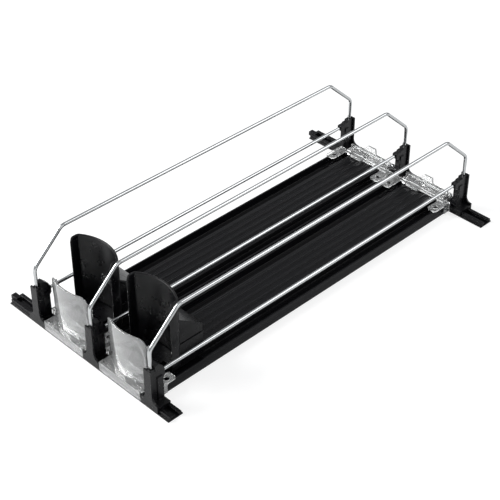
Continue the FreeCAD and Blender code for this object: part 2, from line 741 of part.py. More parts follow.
def rear_clip(label, x):
    """A rear clip: strip on the rail, bridge, two long arms, lug, wall and finger tab."""
    body = new_body(label)
    end = -cell("rear_arm_reach")
    bridge = -cell("rear_bridge_reach")
    behind = -cell("tray_gap")
    pad(body, "side", -strip_half, strip_half * 2, [saddle(channel_back, cell("strip_height"))])
    arms = mirrored([(cell("arm_inner"), bridge), (cell("arm_inner"), end), (arm_outer, end),
                     (arm_outer, behind), (strip_half, behind), (strip_half, cell("wall_place"))])
    pad(body, "plan", arm_bottom, cell("arm_thickness"), [arms])
    arm_skirts(body, behind - cell("skirt_length"), behind)
    arm_ends(body, end)
    arm_holes(body, end + cell("hole_setback"))
    lug = rectangle((-cell("lug_left"), -cell("lug_right")), (-cell("lug_reach"), cell("wall_place")))
    pad(body, "plan", arm_bottom, cell("lug_height") - arm_bottom, [lug])
    tab_half = cell("tab_half")
    tab_corner = cell("tab_corner")
    wall = [(-strip_half, cell("strip_height") - seat_gap), (strip_half, cell("strip_height") - seat_gap),
            (strip_half, cell("wall_height")), (tab_half + cell("tab_slope"), cell("wall_height")),
            (tab_half, cell("tab_height")), (tab_corner - tab_half, cell("tab_height")),
            (-tab_half, cell("tab_height") - tab_corner), (-tab_half, cell("wall_height")),
            (-strip_half, cell("wall_height"))]
    pad(body, "front", cell("wall_place"), cell("wall_thickness"), [wall])
    sub_part(body, label, x, rear_y)


# Pushers

def sloped_prism(name, half, low, back, inset):
    """A prism under the housing's sloped roof, moved in by an inset from roof and back."""
    body = new_body(name)
    front = cell("plate_back") - cell("plate_radius") / 3
    rise = cell("housing_rise")
    back_height = cell("housing_back_height") - inset
    front_height = back_height + (back - front) * rise
    outline = [(front, low), (back, low), (back, back_height), (front, front_height)]
    pad(body, "side", -half, half * 2, [outline])
    return body


def pusher_shell(label, x):
    """The pusher's upper moulding: curved plate with side returns and the hollow sloped housing."""
    radius = cell("plate_radius")
    wall = cell("plate_thickness")
    half = cell("plate_half")
    low = cell("plate_bottom")
    high = cell("plate_top")
    centre_y = cell("plate_back") - radius
    side_y = centre_y + root(radius * radius - half * half)
    outer = cylinder(radius, high - low, 0, centre_y, low)
    inner = cylinder(radius - wall, high - low, 0, centre_y, low)
    window = block((-half, half), (centre_y + radius / 2, cell("plate_back")), (low, high))
    curve = common(cut(outer, inner), window)
    left_return = block((-half, -half + wall), (side_y - cell("plate_return"), side_y), (low, high))
    right_return = block((half - wall, half), (side_y - cell("plate_return"), side_y), (low, high))
    plate = fuse(curve, left_return, right_return)

    def outer_corner(edge):
        middle = edge.CenterOfMass
        return runs_along(edge, Vector(0, 0, 1)) and near(abs(middle.x), half.number) \
            and near(middle.y, side_y.number)
    plate = round_off(plate, cell("plate_round"), outer_corner)

    housing_low = cell("split_height") + cell("split_gap") / 2
    back = cell("housing_back")
    shell_wall = cell("housing_wall")
    solid = sloped_prism("housing_outside", housing_half, housing_low, back, size(0))
    hollow = sloped_prism("housing_inside", housing_half - shell_wall, housing_low - shell_wall,
                          back - shell_wall, shell_wall)
    behind_plate = cylinder(radius - wall / 2, high, 0, centre_y, 0)
    inside_plate = cylinder(radius, high, 0, centre_y, 0)
    housing = cut(cut(solid, behind_plate), cut(hollow, inside_plate))
    sub_part(fuse(plate, housing), label, x, front_y)


def pusher_sled(label, x):
    """The pusher's lower moulding: walls and deck over the runway, with grips under its lips."""
    body = new_body("sled_body")
    grip_low = cell("runway_height") - cell("lip_thickness") - seat_gap - cell("grip_thickness")
    grip_top = grip_low + cell("grip_thickness")
    skirt_inner = runway_half + seat_gap
    grip_inner = skirt_inner - cell("grip_reach")
    deck_low = rib_top + cell("band_thickness") + seat_gap
    deck_top = deck_low + cell("deck_thickness")
    shoulder = cell("split_height") - cell("split_gap") / 2
    lap_top = shoulder + cell("lap_height")
    back = cell("housing_back")
    front = cell("plate_back") - cell("plate_radius") / 3
    right_half = [(skirt_inner, deck_low), (skirt_inner, grip_top), (grip_inner, grip_top),
                  (grip_inner, grip_low), (housing_half, grip_low), (housing_half, shoulder), (lap_half, shoulder),
                  (lap_half, lap_top), (well_half, lap_top), (well_half, deck_top)]
    pad(body, "front", front, back - front, [mirrored(right_half)])
    nose = rectangle((-cell("nose_width") / 2, cell("nose_width") / 2),
                     (cell("front_bridge_end") + seat_gap, front + cell("deck_thickness")))
    pad(body, "plan", deck_low, cell("deck_thickness"), [nose])
    rear_wall = rectangle((-lap_half, lap_half), (deck_top - seat_gap, shoulder))
    pad(body, "front", back - cell("housing_wall"), cell("housing_wall"), [rear_wall])
    band_gate = rectangle((-cell("band_width") / 2 - 1, cell("band_width") / 2 + 1),
                          (cell("drum_place") - cell("band_slot") / 2, cell("drum_place") + cell("band_slot") / 2))
    pocket(body, "plan", deck_low, cell("deck_thickness"), [band_gate])
    lap_gap = rectangle((back - cell("housing_wall") - seat_gap, back), (shoulder, lap_top))
    pocket(body, "side", -lap_half, lap_half * 2, [lap_gap])
    pin_half = well_half + cell("pin_seat")
    pocket(body, "side", -pin_half, pin_half * 2,
           circles=[(cell("drum_place"), cell("drum_height"), cell("pin_diameter") / 2)])
    plate_room = cylinder(cell("plate_radius") + seat_gap, cell("plate_top"), 0,
                          cell("plate_back") - cell("plate_radius"), cell("plate_bottom") - seat_gap)
    sub_part(cut(body, plate_room), label, x, front_y)


ALONG_X = Rotation(Vector(0, 1, 0), 90)


def axle_ring(outside, inside, half):
    """A ring or hub about the drum's axis, centred across the lane."""
    rim = cylinder(outside / 2, half * 2, -half, 0, 0, ALONG_X)
    bore = cylinder(inside / 2, half * 2, -half, 0, 0, ALONG_X)
    return cut(rim, bore)


def drum_parts(side, x):
    """The steel pin, the drum on it and the band coiled on the drum."""
    y = front_y + cell("drum_place")
    z = cell("drum_height")
    pin_half = well_half + cell("pin_seat")
    pin = cylinder(cell("pin_diameter") / 2, pin_half * 2)
    sub_part(pin, f"{side}_drum_pin", x - pin_half, y, z, ALONG_X)
    coil_half = cell("band_width") / 2
    bore = cell("pin_diameter") + cell("pin_fit") * 2
    drum = axle_ring(cell("drum_hub"), bore, coil_half + cell("drum_overhang"))
    sub_part(drum, f"{side}_spring_drum", x, y, z)
    coil = axle_ring(cell("coil_diameter"), cell("drum_hub") + cell("coil_fit") * 2, coil_half)
    sub_part(coil, f"{side}_spring_coil", x, y, z)


def spring_band(label, x):
    """The flat end of the spring band on the runway, hooked over the runway's front end."""
    half = cell("band_width") / 2
    thickness = cell("band_thickness")
    front = rail_width + cell("tray_gap")
    flat = block((-half, half), (front - thickness, cell("drum_place")), (rib_top, rib_top + thickness))
    hook = block((-half, half), (front - thickness, front), (rib_top - cell("band_hook"), rib_top + thickness))
    sub_part(fuse(flat, hook), label, x, front_y)


def check_and_export():
    """Stops at a failed object or an invalid shape, then writes one file per sub-part."""
    doc.recompute()
    for thing in doc.Objects:
        if "Invalid" in thing.State or "Error" in thing.State:
            raise ValueError(f"{thing.Name} ({thing.Label}) failed: {thing.State}")
    for thing in SUB_PARTS:
        shape = thing.Shape
        if shape.isNull() or not shape.isValid() or len(shape.Solids) != 1:
            raise ValueError(f"{thing.Label}: null, invalid or not one solid ({len(shape.Solids)})")
    os.makedirs("parts", exist_ok=True)
    for thing in SUB_PARTS:
        thing.Shape.exportStep(f"parts/{thing.Label}.step")
        print(thing.Label, round(thing.Shape.Volume), "mm3")


rail("front_rail", cell("front_rail_left"), cell("front_rail_right"), front_y)
rail("rear_rail", cell("rear_rail_left"), cell("rear_rail_right"), rear_y)
for side, x in DIVIDERS.items():
    front_post(f"{side}_front_post", x)
    rear_post(f"{side}_rear_post", x)
    upper_wire(f"{side}_upper_wire", x)
    lower_wire(f"{side}_lower_wire", x)
for side, x in LANES.items():
    tray(f"{side}_tray", x)
    front_clip(f"{side}_front_clip", x)
    stop_panel(f"{side}_stop_panel", x)
    rear_clip(f"{side}_rear_clip", x)
    pusher_shell(f"{side}_pusher_shell", x)
    pusher_sled(f"{side}_pusher_sled", x)
    drum_parts(side, x)
    spring_band(f"{side}_spring_band", x)
check_and_export()
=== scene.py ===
"""Looks of a two-lane can organizer: moulded plastic, chromed wire, clear plastic and spring steel.

The packed model is the frame. Lengths are metres, -Y is the open front and +Z is up.
"""
import json
import math

import bmesh
import bpy
import numpy as np
from bpy.props import FloatProperty, IntProperty, PointerProperty
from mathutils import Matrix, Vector

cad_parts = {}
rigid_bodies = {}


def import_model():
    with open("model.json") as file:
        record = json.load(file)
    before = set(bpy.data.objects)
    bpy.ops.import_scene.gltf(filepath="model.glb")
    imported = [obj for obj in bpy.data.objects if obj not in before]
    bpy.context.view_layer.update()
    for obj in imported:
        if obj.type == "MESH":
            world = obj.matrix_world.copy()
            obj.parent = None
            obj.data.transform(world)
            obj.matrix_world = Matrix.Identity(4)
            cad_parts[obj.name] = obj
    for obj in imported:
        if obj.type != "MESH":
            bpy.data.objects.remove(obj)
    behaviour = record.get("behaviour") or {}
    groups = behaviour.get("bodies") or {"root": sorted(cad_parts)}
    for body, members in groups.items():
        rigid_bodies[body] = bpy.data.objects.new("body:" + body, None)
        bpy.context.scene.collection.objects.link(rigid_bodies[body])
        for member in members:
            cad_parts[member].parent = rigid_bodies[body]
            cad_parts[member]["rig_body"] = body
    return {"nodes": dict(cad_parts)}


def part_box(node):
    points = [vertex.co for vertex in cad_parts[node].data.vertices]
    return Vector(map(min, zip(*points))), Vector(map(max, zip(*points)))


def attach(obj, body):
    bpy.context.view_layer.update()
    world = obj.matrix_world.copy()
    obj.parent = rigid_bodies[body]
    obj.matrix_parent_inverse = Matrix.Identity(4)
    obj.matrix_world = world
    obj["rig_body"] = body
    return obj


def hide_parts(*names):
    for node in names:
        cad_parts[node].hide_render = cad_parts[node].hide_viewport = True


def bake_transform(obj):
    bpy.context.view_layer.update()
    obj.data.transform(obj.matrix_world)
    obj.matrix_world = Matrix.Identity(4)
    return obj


bl_info = {
    "name": "Can organizer looks",
    "version": (1, 0, 0),
    "blender": (4, 5, 0),
    "location": "View3D > Sidebar > Organizer",
    "description": "Builds the visible pieces of a can organizer over its packed frame",
    "category": "Object",
}

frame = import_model()

LANES = ("left", "right")
DIVIDERS = ("left", "middle", "right")
MILLIMETRES = 1000
SIDEWAYS = np.array([1.0, 0.0, 0.0])
BACKWARDS = np.array([0.0, 1.0, 0.0])

# Faces that meet at less than these angles, in degrees, are shaded as one
SMOOTH_MOULDING = 35
SMOOTH_HOUSING = 25
SMOOTH_BAND = 60


def length(name, description, default):
    """A property that holds a length in metres."""
    return FloatProperty(name=name, description=description, default=default, unit="LENGTH",
                         subtype="DISTANCE", precision=5)


def count(name, description, default):
    """A property that holds a whole number of one or more."""
    return IntProperty(name=name, description=description, default=default, min=1)


def amount(name, description, default):
    """A property that holds a plain number."""
    return FloatProperty(name=name, description=description, default=default)


# Settings

class OrganizerEdges(bpy.types.PropertyGroup):
    """Rounds of the moulded edges."""

    round: length("Edge round", "Small round of a moulded edge", 0.0003)
    steps: count("Edge steps", "Facets in the round of one edge", 3)
    shaded_round: length("Shaded round", "Edge round that the shading adds", 0.00035)


class OrganizerWires(bpy.types.PropertyGroup):
    """Shape of the divider wires."""

    shoulder: length("Shoulder", "Height where the legs bend into the slants", 0.060)
    slant: length("Slant", "Front-to-back run of each slant", 0.0322)
    bend: length("Bend", "Bend radius on the wire's centre line", 0.009)
    leg_lift: length("Leg lift", "Leg ends above the solid wire's lowest point", 0.002)
    end: amount("Wire end", "End face's size as a share of the wire's section", 0.8)
    sides: count("Sides", "Facets round the wire", 32)
    bend_steps: count("Bend steps", "Rings in one bend", 14)
    straight_steps: count("Straight steps", "Rings along a straight wire", 12)


class OrganizerTrays(bpy.types.PropertyGroup):
    """Cross section of the trays."""

    wall: length("Wall", "Thickness of the outer walls", 0.0016)
    floor: length("Floor", "Thickness of the channels' floor", 0.0018)
    runway_half: length("Runway half width", "From the middle to the runway's lip edge", 0.020)
    lip_reach: length("Lip reach", "Edge lip beyond the runway's wall", 0.0015)
    lip: length("Lip", "Thickness of the edge lip", 0.0016)
    skin: length("Skin", "Wall thickness of the hollow runway", 0.0018)
    level: length("Level", "Height of the runway's skin", 0.009)
    rib: length("Rib", "Height of a glide rib", 0.0008)
    rib_width: length("Rib width", "Width of a glide rib", 0.0016)
    rib_pitch: length("Rib pitch", "Spacing of the glide ribs", 0.0076)
    ribs: count("Ribs", "Number of glide ribs", 5)


class OrganizerRails(bpy.types.PropertyGroup):
    """Cross section of the rails."""

    plate: length("Plate", "Thickness of the bottom plate", 0.0012)
    inset: length("Inset", "How far the channel stands in from the plate's edges", 0.0016)
    wall: length("Wall", "Thickness of the channel's walls", 0.0016)
    lip: length("Lip", "Thickness of the lips beside the slot", 0.0012)
    slot: length("Slot", "Width of the slot", 0.006)
    tongue: length("Tongue", "Reach of the joining tongue", 0.0055)
    tongue_root: length("Tongue root", "Length of the tongue inside the channel", 0.0033)
    gap: length("Gap", "Clearance of the tongue in a slot", 0.0003)


class OrganizerPanels(bpy.types.PropertyGroup):
    """Shape of the clear stop panels."""

    radius: length("Radius", "Outer face's radius", 0.050)
    wall: length("Wall", "Thickness", 0.0018)
    side_round: length("Side round", "Round between the curved front and a side return", 0.0045)
    side_return: length("Return", "Side return behind the end of the curved front", 0.005)
    corner: length("Corner", "Round of the top corners", 0.008)
    rim: length("Rim", "Round of the panel's edges", 0.00045)
    tab_width: length("Tab width", "Width of a plug tab", 0.005)
    tab_place: length("Tab place", "Tab's middle from the lane's middle", 0.012)
    tab_depth: length("Tab depth", "How deep a tab plugs in", 0.004)
    tab_inset: length("Tab inset", "Tab's front behind the panel's outer face", 0.00036)
    tab_wall: length("Tab thickness", "Thickness of a plug tab", 0.00126)
    steps: count("Steps", "Stations along the curved front", 56)


class OrganizerPushers(bpy.types.PropertyGroup):
    """Shape of the pusher's plate and housing."""

    radius: length("Radius", "Back face's radius", 0.045)
    wall: length("Wall", "Thickness of the plate", 0.002)
    side_round: length("Side round", "Round between the plate and a side return", 0.005)
    side_return: length("Return", "Side return of the plate", 0.009)
    corner: length("Corner", "Round of the returns' top corners", 0.004)
    rim: length("Rim", "Round of the plate's edges", 0.0006)
    rim_steps: count("Rim steps", "Facets in the round of one edge", 4)
    housing_back: length("Housing back", "Housing's back face behind the plate's rearmost point", 0.0205)
    housing_low: length("Housing low", "Bottom of the housing", 0.0304)
    housing_height: length("Housing height", "Top of the housing at its back face", 0.0382)
    housing_half: length("Housing half width", "From the middle to the housing's side", 0.02275)
    housing_round: length("Housing round", "Round of the housing's edges", 0.0008)
    housing_rise: amount("Housing rise", "Slope of the housing's roof", 0.704)
    housing_steps: count("Housing steps", "Stations across the housing", 24)
    steps: count("Steps", "Stations along the curved plate", 64)


class OrganizerSprings(bpy.types.PropertyGroup):
    """Shape of the spring band and its coil."""

    thickness: length("Thickness", "Thickness of the drawn band", 0.0002)
    turns: count("Turns", "Turns of the coil", 7)
    turn_steps: count("Turn steps", "Stations in one turn", 48)
    hook_round: length("Hook round", "Bend of the band over the runway's front end", 0.0008)
    lead: length("Lead", "Run in which the band rises to the coil", 0.0042)
    lead_round: length("Lead round", "Bends of that run", 0.003)
    band_steps: count("Band steps", "Stations along the flat band", 40)
    bend_steps: count("Bend steps", "Stations in one bend", 6)


class OrganizerStage(bpy.types.PropertyGroup):
    """Camera, floor and lights."""

    azimuth: FloatProperty(name="Azimuth", description="Camera to the right of straight in front",
                           default=math.radians(45.43), subtype="ANGLE")
    elevation: FloatProperty(name="Elevation", description="Camera above the floor",
                             default=math.radians(36.93), subtype="ANGLE")
    distance: length("Distance", "Camera to its target", 1.2097)
    lens: amount("Lens", "Focal length in millimetres", 94.4)
    floor_size: length("Floor size", "Side of the square floor", 8.0)
    floor_drop: length("Floor drop", "Floor below the lowest face", 0.0002)
    floor_glow: amount("Floor glow", "Light that the floor adds where the camera sees it", 0.72)
    key: amount("Key", "Power of the large soft light in watts", 25.0)
    key_side: length("Key side", "Side of the large soft light", 0.9)
    fill: amount("Fill", "Power of the soft side light in watts", 2.0)
    fill_side: length("Fill side", "Side of the soft side light", 0.8)
    back: amount("Back", "Power of the soft light behind in watts", 5.5)
    back_side: length("Back side", "Side of the soft light behind", 0.9)
    sky: amount("Sky", "Strength of the grey surroundings", 0.42)


SETTINGS = {
    "organizer_edges": OrganizerEdges,
    "organizer_wires": OrganizerWires,
    "organizer_trays": OrganizerTrays,
    "organizer_rails": OrganizerRails,
    "organizer_panels": OrganizerPanels,
    "organizer_pushers": OrganizerPushers,
    "organizer_springs": OrganizerSprings,
    "organizer_stage": OrganizerStage,
}


# Outlines and surfaces

# A corner that turns by less than this, in radians, stays a point
STRAIGHT = 1e-3
# Share of a corner's shorter side that its arc may take up
CORNER_ROOM = 0.49


def unit(vector):
    """The vector at a length of one."""
    return vector / np.linalg.norm(vector)


def corner_arc(before, corner, after, radius, steps):
    """Points of the arc that touches both sides of a corner, or the corner itself where it is straight."""
    arriving = unit(corner - before)
    leaving = unit(after - corner)
    turn = math.acos(float(np.clip(arriving @ leaving, -1, 1)))
    if turn < STRAIGHT:
        return [corner]
    room = min(np.linalg.norm(corner - before), np.linalg.norm(after - corner)) * CORNER_ROOM
    setback = min(radius * math.tan(turn / 2), room)
    centre = corner + unit(leaving - arriving) * setback / math.sin(turn / 2)
    first = corner - arriving * setback - centre
    last = corner + leaving * setback - centre
    shares = np.linspace(0, 1, steps + 1)
    return [centre + (math.sin((1 - share) * turn) * first + math.sin(share * turn) * last) / math.sin(turn)
            for share in shares]


def rounded_outline(corners, radius, steps):
    """A closed outline with an arc in place of each corner."""
    corners = np.asarray(corners, float)
    points = []
    for before, corner, after in zip(np.roll(corners, 1, 0), corners, np.roll(corners, -1, 0)):
        points.extend(corner_arc(before, corner, after, radius, steps))
    return np.array(points)


def rounded_path(corners, radius, steps):
    """An open path with an arc in place of each inner corner."""
    corners = np.asarray(corners, float)
    points = [corners[0]]
    for before, corner, after in zip(corners, corners[1:], corners[2:]):
        points.extend(corner_arc(before, corner, after, radius, steps))
    points.append(corners[-1])
    return np.array(points)


def drawn_in(outline, distance):
    """The outline moved inwards, each point along the mean of its two sides' inward normals."""
    ahead = np.roll(outline, -1, 0) - outline
    behind = outline - np.roll(outline, 1, 0)
    along = ahead / np.linalg.norm(ahead, axis=1)[:, None] + behind / np.linalg.norm(behind, axis=1)[:, None]
    along /= np.linalg.norm(along, axis=1)[:, None]
    inward = np.stack([-along[:, 1], along[:, 0]], axis=1)
    area = np.sum(outline[:, 0] * np.roll(outline[:, 1], -1) - np.roll(outline[:, 0], -1) * outline[:, 1])
    return outline + inward * distance * math.copysign(1, area)


def mirrored(half):
    """A symmetric outline from its right half, listed from bottom to top."""
    return list(half) + [(-u, v) for u, v in reversed(half)]


def skinned(rings):
    """Vertices and faces of a closed skin over rings of equal length, with one flat face at each end."""
    rings = np.asarray(rings, float)
    ring_count, size = rings.shape[:2]
    faces = []
    for ring in range(ring_count - 1):
        low = ring * size
        for point in range(size):
            after = (point + 1) % size
            faces.append((low + point, low + after, low + size + after, low + size + point))
    faces.append(tuple(range(size)))
    last = (ring_count - 1) * size
    faces.append(tuple(range(last, last + size)))
    return rings.reshape(-1, 3), faces


def extrusion(outline, axis, start, end, rim):
    """An outline of (u, z) swept straight along axis 0 (X) or 1 (Y), its end faces drawn in by a rim."""
    rings = []
    small = drawn_in(outline, rim)
    for place, shape in ((start, small), (start + rim, outline), (end - rim, outline), (end, small)):
        ring = np.empty((len(shape), 3))
        ring[:, axis] = place
        ring[:, 1 - axis] = shape[:, 0]
        ring[:, 2] = shape[:, 1]
        rings.append(ring)
    return skinned(rings)


def swept(path, sections, across):
    """Sections of (sideways, outwards) carried along a path: one axis is fixed, the other turns with it."""
    tangents = np.gradient(path, axis=0)
    tangents /= np.linalg.norm(tangents, axis=1)[:, None]
    outwards = np.cross(across, tangents)
    rings = []
    for place, normal, section in zip(path, outwards, sections):
        rings.append(place + section[:, :1] * across + section[:, 1:] * normal)
    return skinned(rings)


def walled(path, thickness, bottom, tops, rim, steps):
    """An upright wall along a plan path: a rounded rectangle from the path inwards at each station."""
    tangents = np.gradient(path, axis=0)
    tangents /= np.linalg.norm(tangents, axis=1)[:, None]
    inwards = np.stack([-tangents[:, 1], tangents[:, 0]], axis=1)
    rings = []
    for number, (place, inward, top) in enumerate(zip(path, inwards, tops)):
        section = rounded_outline([(0, bottom), (thickness, bottom), (thickness, top), (0, top)], rim, steps)
        if number in (0, len(path) - 1):
            section = drawn_in(section, rim)
        ring = np.empty((len(section), 3))
        ring[:, :2] = place + section[:, :1] * inward
        ring[:, 2] = section[:, 1]
        rings.append(ring)
    return skinned(rings)


def merged(*parts):
    """Several closed skins as one list of vertices and faces."""
    vertices = []
    faces = []
    for part_vertices, part_faces in parts:
        offset = sum(len(block) for block in vertices)
        vertices.append(part_vertices)
        faces.extend(tuple(index + offset for index in face) for face in part_faces)
    return np.concatenate(vertices), faces


def piece(name, surface, material, angle=SMOOTH_MOULDING):
    """A mesh object from a surface, faces outwards, smooth below the given angle."""
    vertices, faces = surface
    mesh = bpy.data.meshes.new(name)
    mesh.from_pydata(vertices.tolist(), [], faces)
    shape = bmesh.new()
    shape.from_mesh(mesh)
    bmesh.ops.recalc_face_normals(shape, faces=shape.faces)
    shape.to_mesh(mesh)
    shape.free()
    mesh.shade_smooth()
    mesh.set_sharp_from_angle(angle=math.radians(angle))
    mesh.materials.append(material)
    made = bpy.data.objects.new(name, mesh)
    bpy.context.scene.collection.objects.link(made)
    return made


def place_on(made, body, slot, *nodes):
    """Rides the piece on its body, names its slot and lets it stand for the CAD nodes."""
    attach(made, body)
    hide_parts(*nodes)


def spans(node):
    """The node's (low, high) along X, Y and Z."""
    low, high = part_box(node)
    return [(low[axis], high[axis]) for axis in range(3)]


# Materials

# Most of a noise's values lie between these
NOISE_LOW = 0.3
NOISE_HIGH = 0.7
# Rays that look for nearby edges to round in shading
BEVEL_SAMPLES = 6


def linear(code):
    """An sRGB colour code as linear red, green, blue and alpha."""
    shares = [int(code[start:start + 2], 16) / 255 for start in (1, 3, 5)]
    lights = [share / 12.92 if share <= 0.04045 else ((share + 0.055) / 1.055) ** 2.4 for share in shares]
    return lights + [1.0]


def add_node(tree, kind, inputs=(), **settings):
    """A shader node with its settings and inputs: a value is set, an output socket is linked."""
    node = tree.nodes.new(kind)
    for name, value in settings.items():
        setattr(node, name, value)
    for name, value in dict(inputs).items():
        if isinstance(value, bpy.types.NodeSocket):
            tree.links.new(value, node.inputs[name])
        else:
            node.inputs[name].default_value = value
    return node


def new_material(name, **inputs):
    """A material with one Principled shader, whose constants sit on its own sockets."""
    material = bpy.data.materials.new(name)
    material.use_nodes = True
    shader = material.node_tree.nodes["Principled BSDF"]
    for socket, value in inputs.items():
        shader.inputs[socket.replace("_", " ")].default_value = value
    return material, material.node_tree, shader


def object_noise(tree, scale, detail=3.0, stretch=(1, 1, 1)):
    """Noise in the object's own millimetres: scale is in features per millimetre."""
    place = add_node(tree, "ShaderNodeTexCoord").outputs["Object"]
    scales = [MILLIMETRES * scale * share for share in stretch]
    mapping = add_node(tree, "ShaderNodeMapping", {"Vector": place, "Scale": scales})
    return add_node(tree, "ShaderNodeTexNoise",
                    {"Vector": mapping.outputs["Vector"], "Scale": 1.0, "Detail": detail}).outputs["Fac"]


def ranged(tree, value, low, high):
    """Stretches a noise's middle range to run from low to high."""
    node = add_node(tree, "ShaderNodeMapRange",
                    {"Value": value, "From Min": NOISE_LOW, "From Max": NOISE_HIGH,
                     "To Min": low, "To Max": high})
    return node.outputs["Result"]


def blended(tree, value, first, second):
    """A colour that runs from first to second with the value."""
    mix = add_node(tree, "ShaderNodeMix", data_type="RGBA")
    tree.links.new(value, mix.inputs["Factor"])
    mix.inputs["A"].default_value = linear(first)
    mix.inputs["B"].default_value = linear(second)
    return mix.outputs["Result"]


def soft_edges(tree, shader, height, strength, distance):
    """Rounds the sharp edges in shading and adds the fine relief of the surface."""
    radius = bpy.context.scene.organizer_edges.shaded_round
    bevel = add_node(tree, "ShaderNodeBevel", {"Radius": radius}, samples=BEVEL_SAMPLES)
    bump = add_node(tree, "ShaderNodeBump",
                    {"Height": height, "Strength": strength, "Distance": distance,
                     "Normal": bevel.outputs["Normal"]})
    tree.links.new(bump.outputs["Normal"], shader.inputs["Normal"])


def fine_relief(tree, shader, height, strength, distance):
    """Adds the fine relief of a drawn, rolled or turned surface."""
    bump = add_node(tree, "ShaderNodeBump", {"Height": height, "Strength": strength, "Distance": distance})
    link_input(tree, shader, "Normal", bump.outputs["Normal"])


def link_input(tree, shader, name, value):
    """Feeds one of the shader's inputs from a node."""
    tree.links.new(value, shader.inputs[name])


def gloss_abs():
    """Injection-moulded ABS from a polished tool: deep black and glossy, with a faint flow ripple."""
    material, tree, shader = new_material("ABS polished black", IOR=1.54, Specular_IOR_Level=0.28)
    link_input(tree, shader, "Base Color", blended(tree, object_noise(tree, 0.02), "#08080A", "#0C0C0F"))
    link_input(tree, shader, "Roughness", ranged(tree, object_noise(tree, 0.12), 0.26, 0.32))
    soft_edges(tree, shader, object_noise(tree, 0.05, 1.0), 0.15, 0.0002)
    return material


def satin_abs():
    """Injection-moulded ABS from a satin tool: black with a fine even grain."""
    material, tree, shader = new_material("ABS satin black", IOR=1.54, Specular_IOR_Level=0.3)
    link_input(tree, shader, "Base Color", blended(tree, object_noise(tree, 0.03), "#0B0B0D", "#111114"))
    link_input(tree, shader, "Roughness", ranged(tree, object_noise(tree, 0.2), 0.24, 0.34))
    soft_edges(tree, shader, object_noise(tree, 4.0), 0.12, 0.00004)
    return material


def drawn_abs():
    """Extruded ABS of the trays and rails: satin black with faint lines from front to back."""
    material, tree, shader = new_material("ABS extruded black", IOR=1.54, Specular_IOR_Level=0.2)
    lines = object_noise(tree, 1.2, 2.0, (1.0, 0.004, 1.0))
    link_input(tree, shader, "Base Color", blended(tree, object_noise(tree, 0.015), "#0A0A0C", "#101013"))
    link_input(tree, shader, "Roughness", ranged(tree, lines, 0.22, 0.3))
    soft_edges(tree, shader, lines, 0.08, 0.00003)
    return material


def clear_pc():
    """Injection-moulded polycarbonate of the rear clips: clear with a trace of haze and polished faces."""
    material, tree, shader = new_material("Polycarbonate clear", IOR=1.585, Transmission_Weight=0.92,
                                          Base_Color=linear("#FDFEFE"))
    link_input(tree, shader, "Roughness", ranged(tree, object_noise(tree, 0.08), 0.02, 0.06))
    soft_edges(tree, shader, object_noise(tree, 0.12, 2.0), 0.2, 0.0002)
    return material


def hazed_pc():
    """Hard-coated polycarbonate of the front pieces: glossy, with a haze that catches the light."""
    material, tree, shader = new_material("Polycarbonate hazed", IOR=1.585, Transmission_Weight=0.85,
                                          Base_Color=linear("#FDFEFE"), Coat_Weight=1.0, Coat_IOR=1.6)
    link_input(tree, shader, "Roughness", ranged(tree, object_noise(tree, 0.08), 0.04, 0.08))
    soft_edges(tree, shader, object_noise(tree, 0.06, 1.0), 0.1, 0.0001)
    return material


def chromed_wire():
    """Drawn steel wire, bent and then chrome plated: bright, with faint drawing lines."""
    material, tree, shader = new_material("Chromed steel", Metallic=1.0)
    lines = object_noise(tree, 1.5, 2.0, (1.0, 0.01, 1.0))
    link_input(tree, shader, "Base Color", blended(tree, object_noise(tree, 0.05), "#C9CBCC", "#DADCDD"))
    link_input(tree, shader, "Roughness", ranged(tree, object_noise(tree, 0.3), 0.1, 0.18))
    fine_relief(tree, shader, lines, 0.08, 0.00003)
    return material


def spring_steel():
    """Cold-rolled stainless spring band: satin grey, with rolling lines along its length."""
    material, tree, shader = new_material("Stainless spring steel", Metallic=1.0)
    lines = object_noise(tree, 2.0, 3.0, (1.0, 0.01, 0.3))
    link_input(tree, shader, "Base Color", blended(tree, lines, "#8F9091", "#A5A6A6"))
    link_input(tree, shader, "Roughness", ranged(tree, lines, 0.22, 0.36))
    fine_relief(tree, shader, lines, 0.1, 0.00002)
    return material


def turned_steel():
    """Turned steel pin, oiled: grey with fine rings."""
    material, tree, shader = new_material("Turned steel", Metallic=1.0)
    rings = object_noise(tree, 3.0, 2.0, (1.0, 0.05, 0.05))
    link_input(tree, shader, "Base Color", blended(tree, rings, "#85878A", "#9A9C9F"))
    link_input(tree, shader, "Roughness", ranged(tree, rings, 0.2, 0.32))
    fine_relief(tree, shader, rings, 0.1, 0.00002)
    return material


def moulded_pom():
    """Injection-moulded acetal drum: natural white, waxy."""
    material, tree, shader = new_material("Acetal natural white", IOR=1.48)
    link_input(tree, shader, "Base Color", blended(tree, object_noise(tree, 0.1), "#DDDCD6", "#E6E5DF"))
    link_input(tree, shader, "Roughness", ranged(tree, object_noise(tree, 0.6), 0.3, 0.42))
    soft_edges(tree, shader, object_noise(tree, 2.0), 0.1, 0.00004)
    return material


MAKERS = {
    "gloss": gloss_abs,
    "satin": satin_abs,
    "drawn": drawn_abs,
    "clear": clear_pc,
    "hazed": hazed_pc,
    "chrome": chromed_wire,
    "spring": spring_steel,
    "pin": turned_steel,
    "drum": moulded_pom,
}
made_materials = {}


def finish_of(key):
    """The material of that key, made once."""
    if key not in made_materials:
        made_materials[key] = MAKERS[key]()
    return made_materials[key]


def paint(node, key):
    """Gives a carried-over CAD node its material."""
    slots = frame["nodes"][node].material_slots
    if not slots:
        frame["nodes"][node].data.materials.append(finish_of(key))
    for slot in slots:
        slot.material = finish_of(key)


# Pieces

